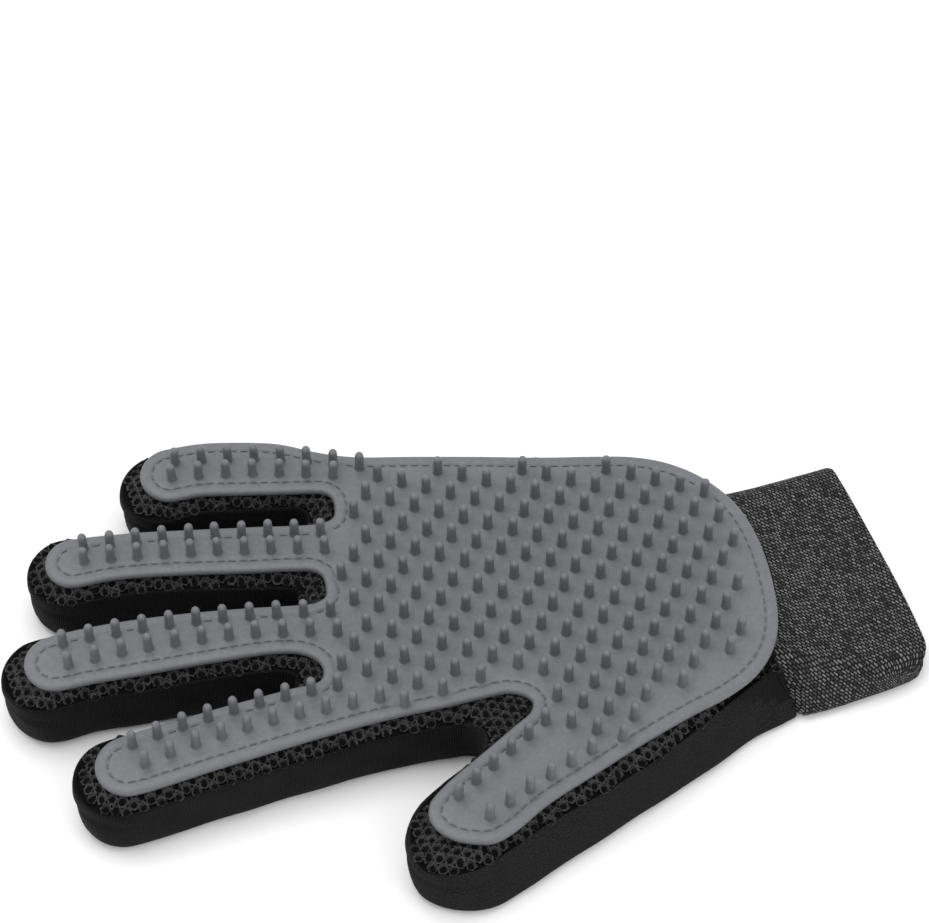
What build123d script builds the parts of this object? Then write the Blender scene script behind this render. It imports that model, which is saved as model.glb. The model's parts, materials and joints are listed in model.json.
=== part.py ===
"""A left-hand pet grooming glove, lying palm up: a silicone pad with nubs, sewn to an air-mesh
front panel, with knit side strips, a knit back and an elastic wrist cuff.

Millimetres. The cuff opens towards +X, the fingers point towards -X and the thumb lies on the
-Y side. The back of the hand rests on z = 0, and the nubs point up.

The pad and the fabric are continuous sheets that flex at the joints of the hand. Here each
sheet is divided at those flex lines, so that every digit has a near and a far segment.
"""

import os
from dataclasses import dataclass
from math import acos, atan2, cos, degrees, hypot, radians, sin, tan

from build123d import *

# Heights of the layers
BACK_THICK = 1.4
WALL_THICK = 1.4
MESH_THICK = 1.5
FABRIC_TOP = 17.5
PAD_THICK = 2.0
PAD_TOP = FABRIC_TOP + PAD_THICK
THREAD_THICK = 0.25
THREAD_WIDTH = 0.4
THREAD_CLEAR_OF_NUB = 0.15
STITCH_INSET = 3.0

# Nubs. The round tip is made of cones, whose edges stand at these angles above its centre.
NUB_HEIGHT = 6.5
NUB_BASE_RADIUS = 1.6
NUB_TIP_RADIUS = 1.25
NUB_TIP_ANGLES = (25.0, 50.0, 75.0)
NUB_SINK = 0.5
NUB_CLEAR_OF_NEXT = 4.0

# Lattice of the palm's nubs
LATTICE_ALONG = 10.404
LATTICE_ACROSS = 8.692
LATTICE_ANGLE = 3.15
LATTICE_START = (28.5, 3.6)
LATTICE_REACH = 14

# The part of the palm that the lattice fills
NUB_FIELD = [
    (-30.0, -23.5),
    (-23.0, -28.0),
    (10.5, -25.8),
    (17.0, -31.0),
    (12.5, -36.5),
    (12.0, -43.0),
    (13.0, -47.5),
    (20.0, -52.0),
    (27.0, -55.5),
    (33.5, -51.0),
    (39.0, -46.5),
    (48.0, -46.0),
    (54.5, -41.0),
    (60.5, -40.5),
    (64.0, -39.5),
    (68.8, -34.5),
    (68.0, -30.0),
    (69.0, -26.5),
    (74.0, -22.0),
    (74.2, -13.0),
    (78.5, -9.0),
    (78.5, 12.0),
    (71.5, 17.5),
    (55.0, 28.5),
    (45.0, 29.0),
    (33.0, 37.0),
    (25.0, 36.5),
    (18.0, 40.0),
    (11.0, 44.5),
    (1.5, 44.0),
    (-4.0, 48.0),
    (-9.0, 52.5),
    (-13.0, 50.5),
    (-12.0, 45.0),
    (-12.5, 41.0),
    (-17.5, 37.0),
    (-14.5, 31.0),
    (-21.0, 24.0),
    (-26.0, 18.0),
    (-21.5, 14.0),
    (-25.5, 9.3),
    (-21.0, 5.3),
    (-25.3, 0.7),
    (-30.3, -4.0),
    (-35.2, -8.8),
    (-29.8, -12.7),
    (-29.3, -21.3),
]

# Flex lines
AXIS_HEIGHT = PAD_TOP + 1.0
JOINT_GAP = 0.25
BEND_BACK_DEG = 10.0
SLANT_MARGIN_DEG = 0.6
SLANT = tan(radians(BEND_BACK_DEG + SLANT_MARGIN_DEG))

# Longer than any piece, to reach past its end
FAR = 200.0

# The fabric of a digit reaches further past the pad at the tip than at the sides
TIP_REACH = 1.2


@dataclass
class NubRow:
    """One row of nubs along a digit, counted from the tip. It may wander sideways."""

    last: float
    pitch: float
    count: int
    sides: tuple

    def station(self, number):
        """How far a nub is from the digit's root."""
        return self.last - number * self.pitch

    def side(self, number):
        """How far a nub is to the left: a parabola through the tip's, middle and palm's values."""
        tip, middle, palm = self.sides
        share = number / (self.count - 1)
        from_tip = tip * (1 - share) * (1 - 2 * share)
        from_palm = palm * share * (2 * share - 1)
        return from_tip + 4 * middle * share * (1 - share) + from_palm


@dataclass
class Digit:
    """One digit in plan: the pad is the hull of two circles, and the fabric is wider all round.

    The flex lines lie half way between two pairs of nubs, counted from the tip.
    """

    name: str
    root: tuple
    tip: tuple
    root_radius: float
    tip_radius: float
    root_rim: float
    tip_rim: float
    rows: list
    knuckle_pair: int
    middle_pair: int

    @property
    def along(self):
        """Unit vector from the root to the tip."""
        length = hypot(self.tip[0] - self.root[0], self.tip[1] - self.root[1])
        return ((self.tip[0] - self.root[0]) / length, (self.tip[1] - self.root[1]) / length)

    @property
    def angle(self):
        """Direction of the digit in plan, in degrees."""
        return degrees(atan2(self.along[1], self.along[0]))

    def at(self, station, side=0.0):
        """The point at a station along the digit, and a distance to its left."""
        ux, uy = self.along
        return (
            self.root[0] + station * ux - side * uy,
            self.root[1] + station * uy + side * ux,
        )

    def after_pair(self, pair):
        """The station half way between a pair of nubs and the next pair towards the palm."""
        return sum(row.station(pair + 0.5) for row in self.rows) / len(self.rows)

    @property
    def knuckle(self):
        """Station of the knuckle's flex line."""
        return self.after_pair(self.knuckle_pair)

    @property
    def middle(self):
        """Station of the middle joint's flex line."""
        return self.after_pair(self.middle_pair)


LITTLE_ROWS = [NubRow(33.4, 7.06, 8, (-3.6, -4.3, -1.1)), NubRow(34.1, 7.18, 7, (1.7, 0.5, 1.7))]
RING_ROWS = [NubRow(63.1, 6.94, 10, (-4.6, -5.7, -4.5)), NubRow(63.0, 7.01, 10, (-0.4, -0.7, 1.1))]
MIDDLE_ROWS = [NubRow(62.1, 6.94, 11, (-5.8, -6.9, -3.8)), NubRow(61.3, 6.94, 11, (1.1, -1.0, 2.6))]
INDEX_ROWS = [NubRow(50.2, 6.78, 9, (-5.7, -7.4, -5.8)), NubRow(48.6, 6.83, 9, (0.8, -1.2, 0.8))]
THUMB_ROWS = [NubRow(25.3, 6.2, 6, (-6.4, -7.4, -8.3)), NubRow(23.4, 6.4, 6, (3.1, 4.2, 5.8))]
DIGITS = [
    Digit("little", (-24.0, 54.5), (-55.3, 65.2), 9.2, 8.9, 3.9, 4.9, LITTLE_ROWS, 3, 1),
    Digit("ring", (-25.7, 28.7), (-88.8, 46.0), 7.6, 8.1, 4.1, 4.9, RING_ROWS, 6, 3),
    Digit("middle", (-38.6, 5.7), (-101.5, 17.2), 8.6, 8.9, 3.7, 4.9, MIDDLE_ROWS, 6, 3),
    Digit("index", (-40.5, -19.8), (-92.3, -18.6), 9.0, 9.2, 3.9, 4.9, INDEX_ROWS, 5, 2),
    Digit("thumb", (7.5, -51.8), (-16.3, -61.2), 12.2, 10.6, 7.6, 7.15, THUMB_ROWS, 2, 0),
]

# Palm in plan. It reaches into each digit, and the slots between the digits are its notches.
PALM_PAD = [
    (-24.0, 56.0),
    (-18.8, 40.0),
    (-34.0, 31.0),
    (-29.3, 17.0),
    (-47.0, 7.2),
    (-38.5, -8.0),
    (-46.0, -19.7),
    (-42.0, -28.0),
    (-24.2, -29.0),
    (-0.9, -31.3),
    (7.7, -36.6),
    (5.0, -45.0),
    (10.0, -62.6),
    (31.2, -57.3),
    (82.3, -46.0),
    (82.3, 21.0),
    (40.6, 35.5),
    (4.5, 49.8),
    (-6.5, 53.8),
    (-14.0, 57.8),
    (-19.5, 61.2),
]
PAD_WRIST_CORNERS = (14, 15)
PAD_WRIST_RADIUS = 27.0
PALM_FABRIC = [
    (-26.0, 57.0),
    (-25.8, 41.6),
    (-38.0, 32.0),
    (-36.5, 19.0),
    (-52.0, 8.1),
    (-45.5, -7.2),
    (-50.0, -19.6),
    (-46.0, -32.0),
    (-12.7, -35.0),
    (-1.5, -38.5),
    (0.0, -52.0),
    (13.0, -71.2),
    (44.0, -63.8),
    (66.0, -57.5),
    (78.6, -56.0),
    (87.6, 21.0),
    (60.0, 33.6),
    (41.0, 40.6),
    (5.0, 54.6),
    (-4.5, 58.4),
    (-14.0, 62.8),
]

# Cuff, and the mouth of the hand that it is sewn to
MOUTH_MARGIN = 1.0
CUFF_END_X = 116.5
CUFF_END_Y = (-52.5, 18.0)
CUFF_NEAR_Y = (-56.0, 21.0)
CUFF_NEAR_HEIGHT = FABRIC_TOP
CUFF_END_HEIGHT = 9.0
CUFF_THICK = 1.5
WRIST_LOW = Vector(78.6, -56.0)
WRIST_HIGH = Vector(87.6, 21.0)
WRIST_SEAM_WIDTH = 3.0


def digit_face(digit, grow_root, grow_tip, start=-FAR, end=FAR, reach=0.0):
    """The digit in plan, from one station to another, with its radii grown by the two amounts."""
    ux, uy = digit.along
    tip = (digit.tip[0] + reach * ux, digit.tip[1] + reach * uy)
    with BuildSketch() as outline:
        with Locations(digit.root):
            Circle(digit.root_radius + grow_root)
        with Locations(tip):
            Circle(digit.tip_radius + grow_tip)
        make_hull()
        with Locations(Location((*digit.at(start), 0), (0, 0, digit.angle))):
            Rectangle(FAR, FAR, align=(Align.MAX, Align.CENTER), mode=Mode.SUBTRACT)
        with Locations(Location((*digit.at(end), 0), (0, 0, digit.angle))):
            Rectangle(FAR, FAR, align=(Align.MIN, Align.CENTER), mode=Mode.SUBTRACT)
    return outline.sketch


def pad_digit(digit, start, end, inset=0.0):
    """The pad of one digit in plan."""
    return digit_face(digit, -inset, -inset, start, end)


def fabric_digit(digit, start, end, inset=0.0):
    """The fabric of one digit in plan. Its tip reaches a little further than the pad's."""
    return digit_face(digit, digit.root_rim - inset, digit.tip_rim - inset, start, end, TIP_REACH)


def inset_corners(points, inset):
    """The corners of a polygon (clockwise or not) with every side moved inwards."""
    area = sum(a[0] * b[1] - b[0] * a[1] for a, b in zip(points, points[1:] + points[:1]))
    turn = 1 if area > 0 else -1
    corners = []
    for before, here, after in zip(points[-1:] + points[:-1], points, points[1:] + points[:1]):
        into = (Vector(*here) - Vector(*before)).normalized()
        out_of = (Vector(*after) - Vector(*here)).normalized()
        normal_in = Vector(-into.Y, into.X) * turn
        normal_out = Vector(-out_of.Y, out_of.X) * turn
        moved = (normal_in + normal_out) * (inset / (1 + normal_in.dot(normal_out)))
        corners.append((here[0] + moved.X, here[1] + moved.Y))
    return corners


def palm_face(points, rounded, radius, inset, digit_part):
    """The palm in plan, with each digit's stub up to its knuckle."""
    corners = inset_corners(points, inset)
    with BuildSketch() as outline:
        with BuildLine():
            Polyline(*corners, close=True)
        make_face()
        wanted = [Vector(*corners[index]) for index in rounded]
        chosen = [v for v in outline.vertices() if any((Vector(*v) - w).length < 0.01 for w in wanted)]
        if chosen:
            fillet(chosen, radius - inset)
        for digit in DIGITS:
            add(digit_part(digit, -FAR, digit.knuckle - JOINT_GAP, inset))
    return outline.sketch


def palm_pad_face(inset=0.0):
    """The pad over the palm, in plan."""
    return palm_face(PALM_PAD, PAD_WRIST_CORNERS, PAD_WRIST_RADIUS, inset, pad_digit)


def palm_fabric_face(inset=0.0):
    """The fabric of the palm, in plan, up to the wrist seam."""
    return palm_face(PALM_FABRIC, [], 0, inset, fabric_digit)


def plate(face, bottom, thick):
    """A flat piece: the face, raised by its thickness."""
    with BuildPart() as piece:
        with BuildSketch(Plane.XY.offset(bottom)):
            add(face)
        extrude(amount=thick)
    return piece.part


def slant_start(part, digit):
    """Cuts the near end of a digit back, more so lower down, so that it can bend back a little."""
    ux, uy = digit.along
    at_axis = digit.at(digit.knuckle + JOINT_GAP)
    normal = Vector(ux, uy, SLANT)
    cut = Plane(origin=(*at_axis, AXIS_HEIGHT), z_dir=normal)
    with BuildPart() as piece:
        add(part)
        split(bisect_by=cut, keep=Keep.TOP)
    return piece.part


def nub(sink=0.0):
    """One nub, standing on z = 0, or sunk below it: a tapered post under a round tip."""
    tip_centre = NUB_HEIGHT - NUB_TIP_RADIUS
    reach = hypot(NUB_BASE_RADIUS, tip_centre)
    taper = acos(NUB_TIP_RADIUS / reach) - atan2(tip_centre, NUB_BASE_RADIUS)
    angles = [taper] + [radians(angle) for angle in NUB_TIP_ANGLES]
    tip = [(NUB_TIP_RADIUS * cos(a), tip_centre + NUB_TIP_RADIUS * sin(a)) for a in angles]
    foot = [(NUB_BASE_RADIUS, -sink), (NUB_BASE_RADIUS, 0)] if sink else [(NUB_BASE_RADIUS, 0)]
    with BuildPart() as shape:
        with BuildSketch(Plane.XZ):
            with BuildLine():
                Polyline((0, -sink), *foot, *tip, (0, tip[-1][1]), close=True)
            make_face()
        revolve(axis=Axis.Z)
    return shape.part


def digit_nub_points(digit):
    """Stations and plan points of a digit's nubs, row by row from the tip towards the palm."""
    points = []
    for row in digit.rows:
        for number in range(row.count):
            station = row.station(number)
            points.append((station, digit.at(station, row.side(number))))
    return points


def nub_field_face():
    """The part of the palm that the lattice of nubs fills."""
    with BuildSketch() as outline:
        with BuildLine():
            Polyline(*NUB_FIELD, close=True)
        make_face()
    return outline.sketch.faces()[0]


def palm_nub_points():
    """Plan points of the palm's own nubs: a centred lattice, clear of the digits' nubs."""
    field = nub_field_face()
    taken = [point for digit in DIGITS for _, point in digit_nub_points(digit)]
    turn = radians(LATTICE_ANGLE)
    points = []
    for row in range(-2 * LATTICE_REACH, 2 * LATTICE_REACH + 1):
        for column in range(-LATTICE_REACH, LATTICE_REACH + 1):
            along = LATTICE_ALONG * (column + 0.5 * (row % 2))
            across = LATTICE_ACROSS * row / 2
            x = LATTICE_START[0] + along * cos(turn) - across * sin(turn)
            y = LATTICE_START[1] + along * sin(turn) + across * cos(turn)
            clear = all(hypot(x - px, y - py) > NUB_CLEAR_OF_NEXT for px, py in taken)
            if clear and field.is_inside(Vector(x, y, 0)):
                points.append((x, y))
    return points


def pad(face, nub_points):
    """A digit's piece of the pad: the sheet, with its nubs in one piece with it."""
    with BuildPart() as piece:
        with BuildSketch(Plane.XY.offset(FABRIC_TOP)):
            add(face)
        extrude(amount=PAD_THICK)
        with Locations(*[(x, y, PAD_TOP) for x, y in nub_points]):
            add(nub(NUB_SINK))
    return piece.part


def nub_field(nub_points):
    """The palm's nubs, each standing on the sheet, so that the gaps between them stay open."""
    with BuildPart() as piece:
        with Locations(*[(x, y, PAD_TOP) for x, y in nub_points]):
            add(nub())
    return piece.part


def thread(face_at, nub_points):
    """The line of stitches on a piece of the pad, as a flat ribbon that stops at the nubs."""
    with BuildPart() as piece:
        with BuildSketch(Plane.XY.offset(PAD_TOP)):
            add(face_at(STITCH_INSET - THREAD_WIDTH / 2))
            add(face_at(STITCH_INSET + THREAD_WIDTH / 2), mode=Mode.SUBTRACT)
            with Locations(*nub_points):
                Circle(NUB_BASE_RADIUS + THREAD_CLEAR_OF_NUB, mode=Mode.SUBTRACT)
        extrude(amount=THREAD_THICK)
    return piece.part


def wall(outer, inner):
    """The side strip between the back and the mesh panel."""
    with BuildPart() as piece:
        with BuildSketch(Plane.XY.offset(BACK_THICK)):
            add(outer)
            add(inner, mode=Mode.SUBTRACT)
        extrude(amount=FABRIC_TOP - MESH_THICK - BACK_THICK)
    return piece.part


def make_digit(digit):
    """The two segments of a digit, each with its pad, mesh, side strip, back and thread."""
    spans = {
        "near": (digit.knuckle + JOINT_GAP, digit.middle - JOINT_GAP),
        "far": (digit.middle + JOINT_GAP, FAR),
    }
    made = {}
    for segment, (start, end) in spans.items():
        nubs = [point for station, point in digit_nub_points(digit) if start < station < end]
        outer = fabric_digit(digit, start, end)
        inner = fabric_digit(digit, start - WALL_THICK, end + WALL_THICK, inset=WALL_THICK)
        pieces = {
            "pad": pad(pad_digit(digit, start, end), nubs),
            "thread": thread(lambda inset, a=start, b=end: pad_digit(digit, a, b, inset), nubs),
            "mesh": plate(outer, FABRIC_TOP - MESH_THICK, MESH_THICK),
            "side": wall(outer, inner),
            "back": plate(outer, 0, BACK_THICK),
        }
        if segment == "near":
            for kind in ("pad", "mesh", "side", "back"):
                pieces[kind] = slant_start(pieces[kind], digit)
        for kind, part in pieces.items():
            made[f"{digit.name}_{segment}_{kind}"] = part
    return made


def cut_wrist(part, distance, side):
    """Keeps one side of a piece, cut along the wrist and slanted like the knuckles."""
    along = (WRIST_HIGH - WRIST_LOW).normalized()
    outward = Vector(along.Y, -along.X)
    origin = WRIST_LOW + outward * distance + Vector(0, 0, AXIS_HEIGHT)
    with BuildPart() as piece:
        add(part)
        split(bisect_by=Plane(origin=origin, z_dir=outward + Vector(0, 0, SLANT)), keep=side)
    return piece.part


def wrist_mouth_face():
    """The mouth of the hand at the wrist, in plan, between the two side strips."""
    along = (WRIST_HIGH - WRIST_LOW).normalized()
    length = (WRIST_HIGH - WRIST_LOW).length
    middle = (WRIST_HIGH + WRIST_LOW) * 0.5
    angle = degrees(atan2(along.Y, along.X))
    with BuildSketch() as mouth:
        with Locations(Location((middle.X, middle.Y, 0), (0, 0, angle))):
            Rectangle(length - 2 * WALL_THICK - MOUTH_MARGIN, 4 * WALL_THICK)
    return mouth.sketch


def make_palm():
    """The palm: pad, thread, mesh, back, and the side strips, divided where they are sewn."""
    outer = palm_fabric_face()
    inner = palm_fabric_face(WALL_THICK) + wrist_mouth_face()
    ring = wall(outer, inner)
    nubs = palm_nub_points() + palm_side_nubs()
    made = {
        "palm_pad": plate(palm_pad_face(), FABRIC_TOP, PAD_THICK),
        "palm_nubs": nub_field(nubs),
        "palm_thread": thread(palm_pad_face, nubs),
        "palm_mesh": plate(outer, FABRIC_TOP - MESH_THICK, MESH_THICK),
        "palm_back": plate(outer, 0, BACK_THICK),
    }
    made.update(divide_side_strip(ring))
    return made


def palm_side_nubs():
    """The digits' nubs that stand on the palm's side of the knuckles."""
    return [
        point
        for digit in DIGITS
        for station, point in digit_nub_points(digit)
        if station < digit.knuckle
    ]


def divide_side_strip(ring):
    """The side strips of the palm: little-finger side, thumb side, and the webs between digits."""
    made = {"little_side_strip": [], "thumb_side_strip": [], "web_strips": []}
    for strip in ring.solids():
        centre = strip.center()
        if centre.Y > 30 and centre.X > 0:
            made["little_side_strip"].append(strip)
        elif centre.Y < -40 and centre.X > 0:
            made["thumb_side_strip"].append(strip)
        else:
            made["web_strips"].append(strip)
    return {name: Part() + strips for name, strips in made.items() if strips}


def cuff_section(x, span, height, inset):
    """A rounded section of the cuff, standing across X."""
    width = span[1] - span[0] - 2 * inset
    high = height - 2 * inset
    middle = Plane(origin=(x, sum(span) / 2, height / 2), x_dir=(0, 1, 0), z_dir=(1, 0, 0))
    with BuildSketch(middle) as section:
        RectangleRounded(width, high, high / 2 - 0.05)
    return section.sketch


def make_cuff():
    """The elastic cuff, a flattened tube that tapers to its open end, and its seam at the wrist."""
    near_x = WRIST_LOW.X - 2
    with BuildPart() as cuff:
        for inset, mode in ((0.0, Mode.ADD), (CUFF_THICK, Mode.SUBTRACT)):
            overrun = inset
            sections = [
                cuff_section(near_x - overrun, CUFF_NEAR_Y, CUFF_NEAR_HEIGHT, inset),
                cuff_section(CUFF_END_X + overrun, CUFF_END_Y, CUFF_END_HEIGHT, inset),
            ]
            loft(sections, ruled=True, mode=mode)
    clear = cut_wrist(cuff.part, JOINT_GAP, Keep.TOP)
    return {
        "wrist_seam": cut_wrist(clear, JOINT_GAP + WRIST_SEAM_WIDTH, Keep.BOTTOM),
        "cuff_band": cut_wrist(clear, JOINT_GAP + WRIST_SEAM_WIDTH, Keep.TOP),
    }


def main():
    os.makedirs("parts", exist_ok=True)
    made = make_palm()
    for digit in DIGITS:
        made.update(make_digit(digit))
    made.update(make_cuff())
    for name, part in made.items():
        part.label = name
        export_step(part, f"parts/{name}.step")
    nubs = len(palm_nub_points()) + sum(row.count for digit in DIGITS for row in digit.rows)
    print(len(made), "nodes,", nubs, "nubs")


main()
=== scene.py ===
"""A left-hand pet grooming glove, lying palm up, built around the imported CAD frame.

Sizes are in millimetres in the frame of the part, and turn into metres when a mesh is made.
Each layer of the glove is one continuous surface that is then divided where the joints are.
"""

import json
from functools import partial
from math import cos, pi, radians, sin

import bpy
import numpy as np
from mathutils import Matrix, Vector
from mathutils.geometry import delaunay_2d_cdt


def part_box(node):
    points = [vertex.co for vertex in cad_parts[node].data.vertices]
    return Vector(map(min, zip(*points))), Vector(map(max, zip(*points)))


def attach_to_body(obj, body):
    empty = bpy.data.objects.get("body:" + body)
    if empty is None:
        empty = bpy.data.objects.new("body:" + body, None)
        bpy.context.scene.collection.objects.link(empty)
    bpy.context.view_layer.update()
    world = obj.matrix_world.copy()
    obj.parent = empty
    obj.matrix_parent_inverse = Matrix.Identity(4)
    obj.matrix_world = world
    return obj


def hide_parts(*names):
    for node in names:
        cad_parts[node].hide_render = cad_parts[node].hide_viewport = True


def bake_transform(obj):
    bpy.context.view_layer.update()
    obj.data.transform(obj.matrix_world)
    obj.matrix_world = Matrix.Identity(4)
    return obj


MM = 0.001
# The distance between the rows of a net of even triangles, as a share of its spacing
ROW_SHARE = 0.866
rng = np.random.default_rng(7)

# ---------------------------------------------------------------- frame

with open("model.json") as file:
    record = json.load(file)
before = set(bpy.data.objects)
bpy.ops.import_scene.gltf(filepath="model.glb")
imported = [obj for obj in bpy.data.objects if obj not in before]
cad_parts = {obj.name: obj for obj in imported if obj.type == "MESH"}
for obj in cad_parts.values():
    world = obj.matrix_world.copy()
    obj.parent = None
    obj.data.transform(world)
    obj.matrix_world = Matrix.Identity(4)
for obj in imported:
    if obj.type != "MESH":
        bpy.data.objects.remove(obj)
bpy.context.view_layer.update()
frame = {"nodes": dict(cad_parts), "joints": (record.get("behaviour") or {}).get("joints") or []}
joint_at = {j["name"]: np.array(j["pos_m"]) / MM for j in frame["joints"]}
joint_axis = {j["name"]: np.array(j["axis"]) for j in frame["joints"]}

PAD_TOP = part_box("palm_thread")[0].z / MM
FABRIC_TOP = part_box("palm_pad")[0].z / MM
NUB_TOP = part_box("palm_nubs")[1].z / MM
CUFF_END_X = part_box("cuff_band")[1].x / MM

# ---------------------------------------------------------------- camera, light, floor

CAMERA_LOOKS_AT = (18.75, 42.75, 19.5)
CAMERA_AZIMUTH = -20.0
CAMERA_ELEVATION = 53.0
CAMERA_DISTANCE = 868.0
CAMERA_LENS = 125.2
CAMERA_SENSOR = 36.0
WORLD_STRENGTH = 0.95
# name, place in metres, power in watts
LIGHTS = [("key", (-0.2, 0.35, 1.2), 7.0), ("fill", (0.7, -0.7, 0.8), 2.5)]
LIGHT_SIZE = 0.9
FLOOR_HALF = 3.0
FLOOR_DROP = 0.0002


def make_camera():
    """A long lens, at the height and turn that the glove is seen from."""
    azimuth, elevation = radians(CAMERA_AZIMUTH), radians(CAMERA_ELEVATION)
    back = Vector((sin(azimuth) * cos(elevation), -cos(azimuth) * cos(elevation), sin(elevation)))
    data = bpy.data.cameras.new("camera")
    data.lens = CAMERA_LENS
    data.sensor_width = CAMERA_SENSOR
    data.clip_start = 0.01
    data.clip_end = 20.0
    camera = bpy.data.objects.new("camera", data)
    camera.location = (Vector(CAMERA_LOOKS_AT) + back * CAMERA_DISTANCE) * MM
    camera.rotation_mode = "QUATERNION"
    camera.rotation_quaternion = (-back).to_track_quat("-Z", "Y")
    bpy.context.scene.collection.objects.link(camera)
    bpy.context.scene.camera = camera


def make_light(name, place, power):
    """A soft square light that points at the glove."""
    data = bpy.data.lights.new(name, "AREA")
    data.energy = power
    data.size = LIGHT_SIZE
    light = bpy.data.objects.new(name, data)
    light.location = place
    light.rotation_mode = "QUATERNION"
    light.rotation_quaternion = (-Vector(place)).to_track_quat("-Z", "Y")
    bpy.context.scene.collection.objects.link(light)


def make_studio():
    """A white floor under soft lights."""
    world = bpy.data.worlds.new("studio")
    world.use_nodes = True
    background = world.node_tree.nodes["Background"]
    background.inputs["Color"].default_value = (1.0, 1.0, 1.0, 1.0)
    background.inputs["Strength"].default_value = WORLD_STRENGTH
    bpy.context.scene.world = world
    bpy.context.scene.view_settings.view_transform = "Standard"
    for light in LIGHTS:
        make_light(*light)
    mesh = bpy.data.meshes.new("floor")
    corners = [(x * FLOOR_HALF, y * FLOOR_HALF, 0) for x, y in ((-1, -1), (1, -1), (1, 1), (-1, 1))]
    mesh.from_pydata(corners, [], [(0, 1, 2, 3)])
    floor = bpy.data.objects.new("floor", mesh)
    floor.location.z = -FLOOR_DROP
    bpy.context.scene.collection.objects.link(floor)
    floor.data.materials.append(floor_material())


# ---------------------------------------------------------------- materials


class Nodes:
    """Short ways to add and join the nodes of one material."""

    def __init__(self, name):
        self.material = bpy.data.materials.new(name)
        self.material.use_nodes = True
        self.tree = self.material.node_tree
        self.shader = self.tree.nodes["Principled BSDF"]

    def add(self, kind, links=(), **settings):
        """A node with its sockets set or linked: a link is (socket, output)."""
        node = self.tree.nodes.new(kind)
        for key, value in settings.items():
            if key in node.bl_rna.properties:
                setattr(node, key, value)
            else:
                node.inputs[key].default_value = value
        for socket, output in links:
            self.tree.links.new(output, node.inputs[socket])
        return node

    def maths(self, operation, first, second=None):
        """The result of a maths node, whose inputs are numbers or outputs."""
        node = self.tree.nodes.new("ShaderNodeMath")
        node.operation = operation
        for socket, value in zip(node.inputs, (first, second)):
            if value is None:
                continue
            if isinstance(value, (int, float)):
                socket.default_value = value
            else:
                self.tree.links.new(value, socket)
        return node.outputs[0]

    def times(self, first, second):
        """A product."""
        return self.maths("MULTIPLY", first, second)

    def plus(self, first, second):
        """A sum."""
        return self.maths("ADD", first, second)

    def minus(self, first, second):
        """A difference."""
        return self.maths("SUBTRACT", first, second)

    def noise(self, vector, scale, detail):
        """The output of a noise texture."""
        node = self.add("ShaderNodeTexNoise", [("Vector", vector)], Scale=scale, Detail=detail)
        return node.outputs[0]

    def uv(self):
        """The U and V outputs of the surface's map, in millimetres."""
        uv = self.add("ShaderNodeUVMap", uv_map="UVMap")
        split = self.add("ShaderNodeSeparateXYZ", [("Vector", uv.outputs[0])])
        return uv.outputs[0], split.outputs[0], split.outputs[1]

    def mix(self, factor, dark, light):
        """A colour between two, by a factor output."""
        node = self.tree.nodes.new("ShaderNodeMix")
        node.data_type = "RGBA"
        self.tree.links.new(factor, node.inputs[0])
        for socket, value in ((node.inputs[6], dark), (node.inputs[7], light)):
            if isinstance(value, tuple):
                socket.default_value = (*value, 1.0)
            else:
                self.tree.links.new(value, socket)
        return node.outputs[2]

    def bump(self, height, strength, distance, under=None):
        """A bump from a height output, in millimetres."""
        node = self.add("ShaderNodeBump", [("Height", height)])
        node.inputs["Strength"].default_value = strength
        node.inputs["Distance"].default_value = distance * MM
        if under is not None:
            self.tree.links.new(under, node.inputs["Normal"])
        return node.outputs[0]

    def finish(self, color=None, roughness=None, normal=None, **values):
        """Joins the results to the shader."""
        for socket, value in (("Base Color", color), ("Roughness", roughness), ("Normal", normal)):
            if value is None:
                continue
            if isinstance(value, tuple):
                self.shader.inputs[socket].default_value = (*value, 1.0)
            elif isinstance(value, float):
                self.shader.inputs[socket].default_value = value
            else:
                self.tree.links.new(value, self.shader.inputs[socket])
        for socket, value in values.items():
            self.shader.inputs[socket.replace("_", " ")].default_value = value
        return self.material


def floor_material():
    """White paper."""
    n = Nodes("floor_white")
    noise = n.add("ShaderNodeTexNoise", Scale=6.0).outputs[0]
    color = n.mix(noise, (0.93, 0.93, 0.93), (0.96, 0.96, 0.96))
    return n.finish(color, 0.9, None)


def silicone_material(name="silicone_grey"):
    """Moulded silicone: satin grey, with a trace of mould grain and slight cloudiness."""
    n = Nodes(name)
    place = n.add("ShaderNodeTexCoord").outputs["Object"]
    cloud = n.noise(place, 45.0, 3.0)
    grain = n.noise(place, 2600.0, 2.0)
    speck = n.noise(place, 850.0, 4.0)
    cloud_share = n.times(cloud, 0.4)
    share = n.plus(cloud_share, n.times(speck, 1.2))
    color = n.mix(n.minus(share, 0.3), (0.108, 0.111, 0.119), (0.158, 0.161, 0.171))
    rough = n.plus(n.times(grain, 0.16), 0.40)
    normal = n.bump(grain, 0.35, 0.05)
    return n.finish(color, rough, normal, Specular_IOR_Level=0.35)


# Distances between the stitches of the knits and the floats of the webbing, in millimetres
RIB_WALE = 0.62
RIB_ROW = 0.42
KNIT_ROW = 0.6
KNIT_SLANT = 0.9
FLOAT_LENGTH = 1.4
FLOAT_ROW = 0.82
FLOAT_GAP = 0.24
FLOAT_ANGLE = -38
FLOAT_WAVE = 1.7


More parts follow.
